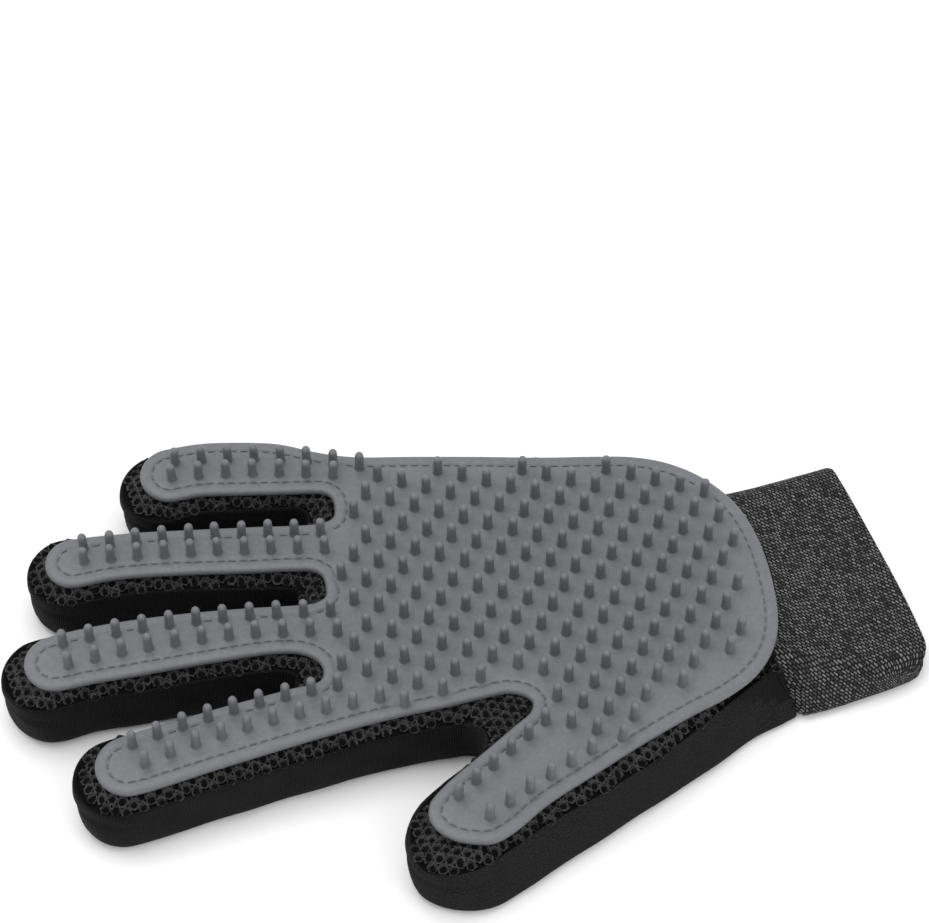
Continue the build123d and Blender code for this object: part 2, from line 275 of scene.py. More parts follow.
def rib_material():
    """Fine rib knit: thin wales that run up the side strip, with painted highlights along the wale crests.
    """
    n = Nodes("rib_knit_black")
    vector, u, v = n.uv()
    wobble = n.noise(vector, 0.35, 2.0)
    wales = n.maths("SINE", n.times(n.plus(u, wobble), 2 * pi / RIB_WALE))
    rows = n.maths("SINE", n.times(v, 2 * pi / RIB_ROW))
    fibre = n.noise(vector, 5.0, 3.0)
    height = n.plus(n.times(wales, 0.5), n.times(rows, 0.16))
    height = n.plus(height, n.times(fibre, 0.9))
    patch = n.noise(vector, 0.09, 2.0)
    # Painted highlight: the wale crests are coloured lighter, mixed with the fibre's own random tone
    share = n.times(n.plus(n.times(wales, 0.5), 0.5), fibre)
    color = n.mix(share, (0.0010, 0.0010, 0.0011), (0.018, 0.018, 0.0185))
    rough = n.plus(n.times(patch, 0.25), 0.55)
    return n.finish(color, rough, n.bump(height, 0.9, 0.24), Specular_IOR_Level=0.1)


def smooth_knit_material(name, dark, light, wale=0.85):
    """Plain knit: rows of small V stitches, slightly brushed."""
    n = Nodes(name)
    vector, u, v = n.uv()
    saw = n.maths("PINGPONG", u, wale / 2)
    slanted = n.plus(v, n.times(saw, KNIT_SLANT))
    rows = n.maths("SINE", n.times(slanted, 2 * pi / KNIT_ROW))
    fibre = n.noise(vector, 2.0, 5.0)
    patch = n.noise(vector, 0.12, 3.0)
    speck = n.times(n.minus(fibre, 0.36), 2.2)
    share = n.plus(n.times(rows, 0.2), speck)
    share = n.plus(share, n.times(patch, 0.3))
    height = n.plus(n.times(rows, 0.35), fibre)
    color = n.mix(share, dark, light)
    return n.finish(color, 0.9, n.bump(height, 0.75, 0.2), Specular_IOR_Level=0.1)


def mesh_base_material():
    """The dark inner face of the air mesh, seen through its holes."""
    n = Nodes("air_mesh_inside")
    vector = n.uv()[0]
    fibre = n.noise(vector, 2.2, 4.0)
    color = n.mix(fibre, (0.0008, 0.0008, 0.0008), (0.006, 0.006, 0.0062))
    return n.finish(color, 0.9, n.bump(fibre, 0.8, 0.25), Specular_IOR_Level=0.08)


def mesh_strand_material():
    """The air mesh's strands: bundles of shiny black filament."""
    n = Nodes("air_mesh_strands")
    place = n.add("ShaderNodeTexCoord").outputs["Object"]
    yarn = n.noise(place, 1500.0, 3.0)
    loops = n.add("ShaderNodeTexVoronoi", [("Vector", place)], Scale=1900.0)
    color = n.mix(yarn, (0.0013, 0.0013, 0.0014), (0.027, 0.027, 0.0275))
    height = n.plus(n.times(loops.outputs[0], 0.7), yarn)
    rough = n.plus(n.times(yarn, 0.3), 0.26)
    return n.finish(color, rough, n.bump(height, 1.0, 0.45), Specular_IOR_Level=0.45)


def elastic_material():
    """Woven elastic: short charcoal floats in slanted, slightly wavy rows over black."""
    n = Nodes("elastic_twill")
    vector = n.uv()[0]
    warp = n.add("ShaderNodeTexNoise", [("Vector", vector)], Scale=0.16, Detail=2.0)
    bend = n.add("ShaderNodeVectorMath", [(0, warp.outputs["Color"])], operation="SCALE")
    bend.inputs["Scale"].default_value = FLOAT_WAVE
    place = n.add("ShaderNodeVectorMath", [(0, vector), (1, bend.outputs[0])], operation="ADD")
    turned = n.add("ShaderNodeMapping", [("Vector", place.outputs[0])])
    turned.inputs["Rotation"].default_value = (0, 0, radians(FLOAT_ANGLE))
    floats = n.add("ShaderNodeTexBrick", [("Vector", turned.outputs[0])], offset=0.5)
    sizes = {
        "Scale": 1.0, "Mortar Size": FLOAT_GAP, "Mortar Smooth": 0.4,
        "Brick Width": FLOAT_LENGTH, "Row Height": FLOAT_ROW,
    }
    for socket, value in sizes.items():
        floats.inputs[socket].default_value = value
    floats.inputs["Color1"].default_value = (0.070, 0.070, 0.071, 1.0)
    floats.inputs["Color2"].default_value = (0.500, 0.500, 0.505, 1.0)
    floats.inputs["Mortar"].default_value = (0.0015, 0.0015, 0.0015, 1.0)
    fibre = n.noise(vector, 8.0, 3.0)
    fleck = n.times(n.minus(fibre, 0.34), 2.2)
    color = n.mix(fleck, (0.002, 0.002, 0.0021), floats.outputs["Color"])
    raised = n.minus(1.0, floats.outputs["Fac"])
    height = n.plus(raised, n.times(fibre, 0.5))
    return n.finish(color, 0.75, n.bump(height, 0.8, 0.25), Specular_IOR_Level=0.15)


def thread_material():
    """Grey polyester sewing thread."""
    n = Nodes("thread_grey")
    place = n.add("ShaderNodeTexCoord").outputs["Object"]
    ply = n.noise(place, 2500.0, 2.0)
    color = n.mix(ply, (0.078, 0.080, 0.086), (0.120, 0.122, 0.130))
    return n.finish(color, 0.5, n.bump(ply, 0.8, 0.1))


# ---------------------------------------------------------------- outlines in plan


def arc(x, y, radius, start, end, count=9):
    """Points along an arc, angles in degrees."""
    angles = np.radians(np.linspace(start, end, count))
    return [(x + radius * cos(a), y + radius * sin(a)) for a in angles]


# Both outlines run from the little finger's side of the palm round the fingertips to the heel.
PAD_OUTLINE = [
    (21.5, 44.0), (5.0, 50.0), (-6.5, 54.0), (-12.0, 56.5), (-17.5, 59.8), (-26.5, 66.0),
    (-36.5, 70.2), (-46.0, 73.2), *arc(-56.2, 65.95, 8.65, 78, 246), (-51.2, 56.8), (-41.1, 53.6),
    (-29.1, 49.6), (-23.5, 47.8), (-20.2, 46.4), (-18.6, 44.2), (-18.9, 40.5), (-20.4, 37.6), (-23.8, 37.0),
    (-42.0, 42.2), (-57.0, 46.7), (-71.0, 50.8), *arc(-88.9, 47.05, 7.55, 78, 250),
    (-80.2, 38.5), (-65.7, 34.7), (-46.6, 28.6), (-34.5, 24.9), (-31.0, 23.5), (-29.0, 21.0),
    (-29.2, 17.2), (-30.3, 14.2), (-33.4, 13.2), (-37.5, 14.0), (-50.0, 17.5), (-64.5, 21.2), (-79.0, 24.2),
    (-91.5, 26.0), *arc(-101.8, 18.35, 8.25, 86, 260), (-95.3, 9.4), (-84.3, 7.8), (-72.8, 6.2),
    (-61.3, 4.5), (-49.7, 2.5), (-43.2, 0.4), (-40.0, -1.9), (-38.2, -4.9), (-38.2, -8.0),
    (-40.0, -10.2), (-48.0, -9.9), (-67.0, -9.2), (-80.0, -9.0), *arc(-92.9, -17.65, 8.65, 88, 272),
    (-71.0, -26.1), (-54.0, -26.1), (-37.5, -26.3), (-23.9, -27.1), (-10.9, -28.4), (-0.4, -29.2),
    (4.2, -29.9), (7.6, -32.0), (9.0, -34.8), (7.4, -37.4), (2.0, -40.0), (-9.5, -45.3), (-20.3, -50.3),
    (-25.6, -54.0), (-27.2, -58.0), (-26.2, -62.3), (-23.1, -66.1), (-18.5, -68.7), (-14.5, -69.9),
    (-9.0, -68.9), (2.2, -64.1), (16.2, -60.0), (31.3, -55.7), (45.8, -52.2), (56.7, -50.0),
    (64.6, -47.2), (70.6, -43.2), (75.2, -37.9), (78.4, -31.5), (80.8, -23.5), (82.5, -14.5),
    (83.2, -6.0), (82.6, 2.5), (80.0, 10.8), (75.6, 18.2), (69.3, 24.6), (61.8, 29.2),
    (53.0, 32.6), (40.0, 37.0),
]
FABRIC_OUTLINE = [
    (42.1, 39.0), (22.7, 46.5), (6.0, 52.6), (-5.4, 56.6), (-15.6, 61.7), (-25.0, 68.1),
    (-35.2, 72.3), (-45.5, 75.4), *arc(-58.9, 64.1, 12.1, 80, 254), (-52.3, 52.0), (-42.7, 49.1),
    (-31.3, 45.7), (-27.6, 44.3), (-26.6, 42.4), (-28.8, 39.8), (-41.6, 44.1), (-56.6, 48.7),
    (-71.1, 52.9), *arc(-90.1, 46.2, 11.6, 82, 254), (-81.5, 33.8), (-67.0, 30.2), (-48.1, 24.0),
    (-39.2, 21.0), (-36.5, 19.1), (-39.2, 16.1), (-49.6, 19.4), (-64.2, 23.4), (-78.8, 26.5),
    (-91.5, 28.4), *arc(-104.3, 17.2, 12.2, 88, 266), (-96.0, 4.7), (-84.9, 2.9), (-73.4, 1.5),
    (-62.1, -0.1), (-51.8, -2.2), (-47.2, -3.7), (-45.5, -5.4), (-47.8, -8.1), (-67.1, -7.1),
    (-80.1, -6.7), *arc(-95.1, -18.8, 12.6, 92, 272), (-71.0, -31.2), (-54.0, -31.3),
    (-37.7, -31.6), (-24.4, -32.6), (-13.9, -33.9), (-7.7, -35.3), (-6.0, -38.0), (-7.5, -41.5),
    (-20.1, -47.1), (-27.8, -51.2), (-32.7, -57.3), (-34.4, -63.2), (-34.0, -69.2), (-30.0, -74.4),
    (-23.5, -78.0), (-16.2, -79.2), (-8.0, -77.4), (2.0, -74.1), (13.9, -70.8), (26.3, -67.1),
    (38.7, -63.7), (51.4, -59.8), (64.4, -55.7), (73.4, -54.2), (77.6, -53.0), (78.4, -49.5),
    (78.6, -44.0), (79.2, -36.0), (80.0, -28.0), (81.0, -18.0), (81.8, -8.0), (81.2, 2.0),
    (78.7, 10.0), (74.2, 17.3), (68.0, 23.5), (60.5, 28.6), (54.0, 32.0), (48.5, 35.6),
]
WRIST_FROM = (77.6, -53.0)
WRIST_TURN = (80.0, -28.0)
WRIST_TO = (60.5, 28.6)


def closed_spline(points, per_span=24):
    """A smooth closed curve through points: a centripetal Catmull-Rom spline."""
    p = np.array(points, float)
    before, after, beyond = np.roll(p, 1, 0), np.roll(p, -1, 0), np.roll(p, -2, 0)
    t0 = np.zeros(len(p))
    t1 = t0 + np.linalg.norm(p - before, axis=1) ** 0.5
    t2 = t1 + np.linalg.norm(after - p, axis=1) ** 0.5
    t3 = t2 + np.linalg.norm(beyond - after, axis=1) ** 0.5
    rows = []
    for share in np.arange(per_span) / per_span:
        t = (t1 + (t2 - t1) * share)[:, None]
        a0, a1, a2, a3 = t0[:, None], t1[:, None], t2[:, None], t3[:, None]
        q1 = (a1 - t) / (a1 - a0) * before + (t - a0) / (a1 - a0) * p
        q2 = (a2 - t) / (a2 - a1) * p + (t - a1) / (a2 - a1) * after
        q3 = (a3 - t) / (a3 - a2) * after + (t - a2) / (a3 - a2) * beyond
        r1 = (a2 - t) / (a2 - a0) * q1 + (t - a0) / (a2 - a0) * q2
        r2 = (a3 - t) / (a3 - a1) * q2 + (t - a1) / (a3 - a1) * q3
        rows.append((a2 - t) / (a2 - a1) * r1 + (t - a1) / (a2 - a1) * r2)
    return np.stack(rows, 1).reshape(-1, 2)


def resample(curve, spacing, turn_limit=9.0):
    """Even points on a closed curve, closer together where it turns."""
    step = np.roll(curve, -1, 0) - curve
    length = np.linalg.norm(step, axis=1)
    heading = np.arctan2(step[:, 1], step[:, 0])
    turn = np.abs((np.roll(heading, -1) - heading + pi) % (2 * pi) - pi)
    measure = np.concatenate([[0], np.cumsum(length / spacing + np.degrees(turn) / turn_limit)])
    count = int(round(measure[-1]))
    wanted = np.linspace(0, measure[-1], count, endpoint=False)
    wrapped = np.vstack([curve, curve[:1]])
    return np.stack([np.interp(wanted, measure, wrapped[:, i]) for i in (0, 1)], 1)


def smooth_rows(values, passes):
    """Smooths values round a closed loop."""
    for _ in range(passes):
        values = (np.roll(values, 1, 0) + 2 * values + np.roll(values, -1, 0)) / 4
    return values


def inward_normals(points):
    """The unit normals of a closed loop, towards its inside."""
    ahead = np.roll(points, -1, 0) - np.roll(points, 1, 0)
    normals = smooth_rows(np.stack([-ahead[:, 1], ahead[:, 0]], 1), 2)
    return normals / np.linalg.norm(normals, axis=1)[:, None]


class Outline:
    """A closed outline: its points, inward normals and length along it."""

    def __init__(self, points, spacing):
        self.points = resample(closed_spline(points), spacing)
        self.inward = inward_normals(self.points)
        gaps = np.linalg.norm(np.roll(self.points, -1, 0) - self.points, axis=1)
        self.along = np.concatenate([[0], np.cumsum(gaps)])

    def __len__(self):
        return len(self.points)

    def inset(self, distance):
        """The outline moved inwards."""
        return self.points + self.inward * np.reshape(distance, (-1, 1))


def nearest(points, loop):
    """Each point's distance to a closed loop, and the nearest place on the loop."""
    a, b = loop, np.roll(loop, -1, 0)
    ab = b - a
    gaps, places = [], []
    for start in range(0, len(points), 2000):
        p = points[start:start + 2000, None, :]
        share = np.clip(((p - a) * ab).sum(2) / (ab * ab).sum(1), 0, 1)
        near = a + share[..., None] * ab
        gap = np.sqrt(((p - near) ** 2).sum(2))
        best = gap.argmin(1)
        rows = np.arange(len(best))
        gaps.append(gap[rows, best])
        places.append(near[rows, best])
    return np.concatenate(gaps), np.concatenate(places)


def segment_distance(points, loop):
    """Each point's distance to a closed loop."""
    return nearest(points, loop)[0]


def inside(points, loop):
    """Which points are inside a closed loop."""
    a, b = loop, np.roll(loop, -1, 0)
    result = np.zeros(len(points), bool)
    for start in range(0, len(points), 2000):
        p = points[start:start + 2000]
        x, y = p[:, :1], p[:, 1:]
        spans = (a[:, 1] > y) != (b[:, 1] > y)
        rise = np.where(b[:, 1] == a[:, 1], 1e-12, b[:, 1] - a[:, 1])
        cross = x < a[:, 0] + (y - a[:, 1]) / rise * (b[:, 0] - a[:, 0])
        result[start:start + 2000] = (spans & cross).sum(1) % 2 == 1
    return result


# ---------------------------------------------------------------- joints of the hand

DIGIT_NAMES = ("little", "ring", "middle", "index", "thumb")
PAD_FOLD = 1.1
# Where the fabric's bend points round a joint are put, as shares of the digit's joint pitch; the pieces are
# not bent by them
NEAR_FOLD = (-0.8, 0.98)
FAR_FOLD = (-0.92, 0.92)
NUB_PITCH = 7.0
DIGIT_REACH = {"little": 14.2, "ring": 13.2, "middle": 13.6, "index": 14.3, "thumb": 23.0}


class Digit:
    """Where a digit's two joints are, how far it reaches, and the plan points along it."""

    def __init__(self, name):
        self.name = name
        self.knuckle = joint_at[f"{name}_knuckle"][:2]
        self.middle = joint_at[f"{name}_middle_joint"][:2]
        axis = joint_axis[f"{name}_knuckle"]
        self.ahead = np.array([-axis[1], axis[0]])
        self.left = np.array([-self.ahead[1], self.ahead[0]])
        self.length = float((self.middle - self.knuckle) @ self.ahead)
        self.pitch = self.length / round(self.length / NUB_PITCH)
        self.reach = DIGIT_REACH[name]

    def station(self, plan):
        """Distance beyond the knuckle, along the digit."""
        return (plan - self.knuckle) @ self.ahead

    def holds(self, plan, from_station):
        """Which plan points are on this digit beyond a station."""
        side = np.abs((plan - self.knuckle) @ self.left)
        return (self.station(plan) > from_station) & (side < self.reach)

    def at(self, station):
        """The plan point on the digit's line at a station, in metres."""
        x, y = (self.knuckle + self.ahead * station) * MM
        return (x, y, 0.0)


DIGITS = [Digit(name) for name in DIGIT_NAMES]
digit_of = {digit.name: digit for digit in DIGITS}


def region_names(plan):
    """The region of each plan point: the hand, or a digit's near or far half."""
    names = np.full(len(plan), "hand", dtype="<U16")
    for digit in DIGITS:
        names[digit.holds(plan, -digit.pitch)] = f"{digit.name}_near"
        names[digit.holds(plan, digit.length - digit.pitch)] = f"{digit.name}_far"
    return names


def attach(piece, region, fabric):
    """Parents a hand piece to the hand's body and bakes a digit's piece in place. Bend points round the
    joint, further apart for fabric than for silicone, are worked out but not used.
    """
    if region == "hand":
        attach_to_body(piece, "hand")
        return
    name, half = region.rsplit("_", 1)
    digit = digit_of[name]
    start, end = -PAD_FOLD, PAD_FOLD
    if fabric:
        start, end = (share * digit.pitch for share in (NEAR_FOLD if half == "near" else FAR_FOLD))
    if half == "near":
        digit.at(start)
        digit.at(end)
        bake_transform(piece)
    else:
        start, end = digit.length + start, digit.length + end
        digit.at(start)
        digit.at(end)
        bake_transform(piece)


# ---------------------------------------------------------------- surfaces


class Surface:
    """Vertices, faces, a kind for each face and a map for each corner, in millimetres."""

    def __init__(self):
        self.verts = np.zeros((0, 3))
        self.faces = []
        self.kinds = []
        self.maps = []

    def add_verts(self, verts):
        """Adds vertices and gives the index of the first."""
        first = len(self.verts)
        self.verts = np.vstack([self.verts, verts])
        return first

    def add_face(self, corners, kind, uv):
        """Adds a face with a kind and a map place for each corner."""
        self.faces.append(tuple(int(c) for c in corners))
        self.kinds.append(kind)
        self.maps.append([tuple(m) for m in uv])

    def bridge(self, low, high, kind, mapped=True):
        """Faces between two rings. Unmapped faces have no use for their map."""
        for i in range(len(low)):
            j = (i + 1) % len(low)
            corners = (low[i], low[j], high[j], high[i])
            uv = [tuple(self.verts[v][:2]) if mapped else (0, 0) for v in corners]
            self.add_face(corners, kind, uv)

    def normals(self):
        """Smooth normals of the whole surface, for pieces that share an edge."""
        mesh = bpy.data.meshes.new("whole")
        mesh.from_pydata(self.verts.tolist(), [], self.faces)
        mesh.update()
        result = np.zeros(len(self.verts) * 3)
        mesh.vertex_normals.foreach_get("vector", result)
        bpy.data.meshes.remove(mesh)
        return result.reshape(-1, 3)

    def centres(self):
        """The plan centre of each face."""
        return np.array([self.verts[list(f), :2].mean(0) for f in self.faces])

    def piece(self, name, chosen, normals, material, normals_kept=True):
        """A Blender object from the chosen faces, with the whole surface's normals."""
        used = sorted({v for i in chosen for v in self.faces[i]})
        place = {v: k for k, v in enumerate(used)}
        faces = [[place[v] for v in self.faces[i]] for i in chosen]
        mesh = bpy.data.meshes.new(name)
        mesh.from_pydata((self.verts[used] * MM).tolist(), [], faces)
        layer = mesh.uv_layers.new(name="UVMap")
        flat = [m for i in chosen for corner in self.maps[i] for m in corner]
        layer.data.foreach_set("uv", flat)
        mesh.polygons.foreach_set("use_smooth", [True] * len(faces))
        mesh.materials.append(material)
        mesh.update()
        if normals_kept:
            mesh.normals_split_custom_set_from_vertices(normals[used].tolist())
        piece = bpy.data.objects.new(name, mesh)
        bpy.context.scene.collection.objects.link(piece)
        return piece


def sweep(surface, outline, profile, kinds, skip=None, shift=0.0):
    """Sweeps a profile of (inset, height, share of the shift) rows round an outline.

    Gives the rows' vertex numbers.
    """
    rows = []
    across = [0.0]
    for (d0, z0, _), (d1, z1, _) in zip(profile, profile[1:]):
        d_step, z_step = np.mean(d1) - np.mean(d0), np.mean(z1) - np.mean(z0)
        across.append(across[-1] + float(np.hypot(d_step, z_step)))
    count = len(outline)
    for inset, height, share in profile:
        plan = outline.inset(np.broadcast_to(inset, count)) + share * shift
        verts = np.column_stack([plan, np.broadcast_to(height, count)])
        first = surface.add_verts(verts)
        rows.append(first + np.arange(count))
    for k in range(len(rows) - 1):
        for i in range(count):
            if skip is not None and kinds[k] in skip[1] and skip[0][i]:
                continue
            j = (i + 1) % count
            u0, u1 = outline.along[i], outline.along[i + 1]
            uv = [(u0, across[k]), (u1, across[k]), (u1, across[k + 1]), (u0, across[k + 1])]
            surface.add_face((rows[k][i], rows[k][j], rows[k + 1][j], rows[k + 1][i]), kinds[k], uv)
    return rows


def even_grid(loop, spacing, clear):
    """Even points inside a loop, in rows of triangles, and clear of its edge."""
    low, high = loop.min(0), loop.max(0)
    columns = np.arange(low[0], high[0], spacing)
    lines = np.arange(low[1], high[1], spacing * ROW_SHARE)
    grid = np.array([(x + (k % 2) * spacing / 2, y) for k, y in enumerate(lines) for x in columns])
    grid = grid[inside(grid, loop)]
    return grid[segment_distance(grid, loop) > clear]


def fill(surface, loop_rows, holes, free, height_at, kind, downwards=False):
    """Fills a loop of vertices with triangles through the free points, round the nubs' feet."""
    loop = surface.verts[loop_rows][:, :2]
    points = [Vector(p) for p in loop]
    numbers = list(loop_rows)
    edges = [(i, (i + 1) % len(loop)) for i in range(len(loop))]
    ring_of = {}
    for number, hole in enumerate(holes):
        first = len(points)
        points += [Vector(surface.verts[v][:2]) for v in hole]
        numbers += list(hole)
        ring = list(range(first, first + len(hole)))
        edges += list(zip(ring, ring[1:] + ring[:1]))
        ring_of.update({int(v): number for v in hole})
    points += [Vector(p) for p in free]
    base = surface.add_verts(np.column_stack([free, height_at(free)]))
    numbers += list(base + np.arange(len(free)))
    verts, _, faces, origins, _, _ = delaunay_2d_cdt(points, edges, [], 1, 1e-7)
    owner = []
    for place, origin in zip(verts, origins):
        if origin:
            owner.append(int(numbers[origin[0]]))
        else:
            plan = np.array([place])
            owner.append(surface.add_verts(np.column_stack([plan, height_at(plan)])))
    for face in faces:
        corners = [owner[v] for v in face]
        rings = {ring_of.get(v, -1) for v in corners}
        if len(rings) == 1 and -1 not in rings:
            continue
        if downwards:
            corners = corners[::-1]
        uv = [tuple(surface.verts[v][:2]) for v in corners]
        surface.add_face(corners, kind, uv)


# ---------------------------------------------------------------- silicone pad

NUB_SEGMENTS = 16
PAD_UNDER = FABRIC_TOP - 0.1
PAD_FIELD = PAD_TOP - 0.06
STITCH_INSET = 3.3
# (inset, height) from the hidden underside round the edge to where the upper face starts
PAD_EDGE = [
    (3.0, PAD_UNDER), (0.55, PAD_UNDER), (0.12, PAD_UNDER + 0.25), (0.0, PAD_UNDER + 0.75),
    (0.03, PAD_UNDER + 1.2), (0.2, PAD_TOP - 0.42), (0.55, PAD_TOP - 0.14),
]
# (inset, height) of the upper face: a smooth border, the stitched groove, and the field
PAD_FACE = [
    (0.55, PAD_TOP - 0.14), (1.1, PAD_TOP - 0.03), (1.8, PAD_TOP), (2.5, PAD_TOP - 0.01),
    (2.85, PAD_TOP - 0.1), (3.1, PAD_TOP - 0.26), (3.45, PAD_TOP - 0.27), (3.75, PAD_TOP - 0.13),
    (4.2, PAD_FIELD), (4.9, PAD_FIELD),
]
# (radius, height above the field) of a nub, from its foot to just under its tip
NUB_FOOT = 1.58
NUB_PROFILE = [
    (1.4, 0.09), (1.31, 0.3), (1.27, 0.8), (1.24, 1.05), (1.22, 2.2), (1.2, 3.8), (1.17, 5.1),
    (1.1, 5.6), (0.94, 5.98), (0.67, 6.28), (0.32, 6.46),
]
NUB_TIP_HEIGHT = 6.52
NUB_EDGE_GAP = 2.35
# A nub's random lean at its tip, and the height where the leaning starts
NUB_LEAN = 0.10
NUB_LEAN_FROM = 0.9
NUB_TIP_LEAN = 0.85
PAD_SPACING = 1.1
PAD_GRID = 2.2


def pad_height(plan, loop):
    """Height of the pad's upper face at plan points."""
    insets = [row[0] for row in PAD_FACE]
    heights = [row[1] for row in PAD_FACE]
    return np.interp(segment_distance(plan, loop), insets, heights)


def nub_places(loop):
    """Plan places of the nubs: the middles of the highest faces of the CAD pads."""
    groups = []
    for name, node in frame["nodes"].items():
        if not name.endswith(("_pad", "_nubs")):
            continue
        co = np.zeros(len(node.data.vertices) * 3)
        node.data.vertices.foreach_get("co", co)
        co = co.reshape(-1, 3) / MM
        for top in co[co[:, 2] > NUB_TOP - 0.02][:, :2]:
            near = [g for g in groups if np.hypot(*(g[0] - top)) < 1.5]
            if near:
                near[0].append(top)
            else:
                groups.append([top])
    places = np.array([(np.min(g, 0) + np.max(g, 0)) / 2 for g in groups])
    gap, edge = nearest(places, loop)
    short = np.clip(NUB_EDGE_GAP - gap, 0, None) / np.maximum(gap, 0.1)
    return places + (places - edge) * short[:, None]


def add_nub(surface, at, loop, circle):
    """One nub. Gives the vertices of its foot, which follow the pad's upper face."""
    lean = rng.normal(0, NUB_LEAN, 2)
    foot = at + circle * NUB_FOOT
    foot = np.column_stack([foot, pad_height(foot, loop)])
    rings = [surface.add_verts(foot) + np.arange(NUB_SEGMENTS)]
    for radius, height in NUB_PROFILE:
        share = max(0.0, height - NUB_LEAN_FROM) / NUB_TIP_HEIGHT
        plan = at + circle * radius + lean * share
        verts = np.column_stack([plan, np.full(NUB_SEGMENTS, PAD_FIELD + height)])
        rings.append(surface.add_verts(verts) + np.arange(NUB_SEGMENTS))
    tip = surface.add_verts([[*(at + lean * NUB_TIP_LEAN), PAD_FIELD + NUB_TIP_HEIGHT]])
    for low, high in zip(rings, rings[1:]):
        surface.bridge(low, high, "nub")
    for i in range(NUB_SEGMENTS):
        corners = (rings[-1][i], rings[-1][(i + 1) % NUB_SEGMENTS], tip)
        surface.add_face(corners, "nub", [tuple(surface.verts[v][:2]) for v in corners])
    return rings[0]


def pad_face_points(outline, nubs):
    """The free points of the pad's upper face: rows along the groove, then an even grid."""
    rows = []
    for inset, _ in PAD_FACE[1:]:
        row = outline.inset(inset)
        rows.append(row[segment_distance(row, outline.points) > inset - 0.05])
    rows.append(even_grid(outline.points, PAD_GRID, PAD_FACE[-1][0] + 0.9))
    points = np.concatenate(rows)
    gap = np.sqrt(((points[:, None] - nubs[None]) ** 2).sum(2)).min(1)
    return points[gap > NUB_FOOT + 0.3]


def make_pad(material):
    """The silicone pad with its nubs, as one moulding divided at the joints."""
    outline = Outline(PAD_OUTLINE, PAD_SPACING)
    loop = outline.points
    surface = Surface()
    profile = [(inset, height, 0) for inset, height in PAD_EDGE]
    rows = sweep(surface, outline, profile, ["pad"] * (len(PAD_EDGE) - 1))
    turns = np.linspace(0, 2 * pi, NUB_SEGMENTS, endpoint=False)
    circle = np.stack([np.cos(turns), np.sin(turns)], 1)
    nubs = nub_places(loop)
    feet = [add_nub(surface, at, loop, circle) for at in nubs]
    free = pad_face_points(outline, nubs)
    fill(surface, rows[-1], feet, free, lambda plan: pad_height(plan, loop), "pad")
    normals = surface.normals()
    regions = region_names(surface.centres())
    for region in sorted(set(regions)):
        chosen = np.flatnonzero(regions == region)
        label = "palm" if region == "hand" else region
        piece = surface.piece(f"pad_{label}", chosen, normals, material)
        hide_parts(f"{label}_pad", *(["palm_nubs"] if label == "palm" else []))
        attach(piece, region, fabric=False)
    return outline, nubs


STITCH_PITCH = 2.9
STITCH_LENGTH = 2.2
STITCH_RADIUS = 0.16
STITCH_SIDES = 6
STITCH_PARTS = 6
STITCH_WIDER = 1.15
STITCH_END_SHARE = 0.45
STITCH_LOW = 0.34
STITCH_RISE = 0.24
STITCH_NUB_GAP = 0.15


def add_stitch(surface, plan):
    """One raised thread along plan points, with its ends sunk into the pad."""
    ahead = np.gradient(plan, axis=0)
    ahead /= np.linalg.norm(ahead, axis=1)[:, None]
    left = np.stack([-ahead[:, 1], ahead[:, 0]], 1)
    rise = STITCH_RISE * np.sin(pi * np.linspace(0, 1, STITCH_PARTS + 1)) ** 0.7
    height = PAD_TOP - STITCH_LOW + rise
    angles = np.linspace(0, 2 * pi, STITCH_SIDES, endpoint=False)
    rings = []
    for i in range(STITCH_PARTS + 1):
        thick = STITCH_RADIUS * (STITCH_END_SHARE if i in (0, STITCH_PARTS) else 1.0)
        ring = [
            (*(plan[i] + left[i] * thick * STITCH_WIDER * cos(a)), height[i] + thick * sin(a))
            for a in angles
        ]
        rings.append(surface.add_verts(np.array(ring)) + np.arange(STITCH_SIDES))
    for low, high in zip(rings, rings[1:]):
        surface.bridge(high, low, "thread", mapped=False)
    for corners in (rings[0], rings[-1][::-1]):
        surface.add_face(corners, "thread", [(0, 0)] * STITCH_SIDES)


def make_stitches(outline, nubs, material):
    """The line of lock stitches that holds the pad, one short raised thread after another."""
    line = outline.inset(STITCH_INSET)
    gaps = np.linalg.norm(np.roll(line, -1, 0) - line, axis=1)
    along = np.concatenate([[0], np.cumsum(gaps)])
    wrapped = np.vstack([line, line[:1]])
    steps = np.linspace(0, 1, STITCH_PARTS + 1) * STITCH_LENGTH
    surface = Surface()
    count = 0
    for start in np.linspace(0, along[-1], int(along[-1] / STITCH_PITCH), endpoint=False):
        plan = np.stack([np.interp(start + steps, along, wrapped[:, i]) for i in (0, 1)], 1)
        gap = np.sqrt(((plan[:, None] - nubs[None]) ** 2).sum(2)).min()
        if gap < NUB_FOOT + STITCH_NUB_GAP:
            continue
        count += 1
        add_stitch(surface, plan)
    faces_each = STITCH_PARTS * STITCH_SIDES + 2
    middles = surface.centres().reshape(count, faces_each, 2).mean(1)
    regions = np.repeat(region_names(middles), faces_each)
    normals = surface.normals()
    for region in sorted(set(regions)):
        label = "palm" if region == "hand" else region
        chosen = np.flatnonzero(regions == region)
        piece = surface.piece(f"stitches_{label}", chosen, normals, material, normals_kept=False)
        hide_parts(f"{label}_thread")
        attach(piece, region, fabric=False)


# ---------------------------------------------------------------- fabric hull

SEAM_HEIGHT = 15.1
FABRIC_SPACING = 1.15
FABRIC_GRID = 3.0
FABRIC_GRID_GAP = 1.6
PUCKER = 0.26
# The fold and the band round the fingertips: depth, height and width of the fold
TIP_CREASE = (0.9, 10.6, 0.6)
TIP_BAND = 0.6
TIP_BAND_FROM = 11.0
TIP_LENGTH = 14.0
TIP_FADE = 8.0
# Which way the thumb's wall and the near walls face, and how far the near walls lean in
THUMB_OUTWARD = (0.3, -0.95)
NEAR_OUTWARD = (-0.1, -1.0)
NEAR_LEAN = 0.9
THUMB_WALL_Y = -44
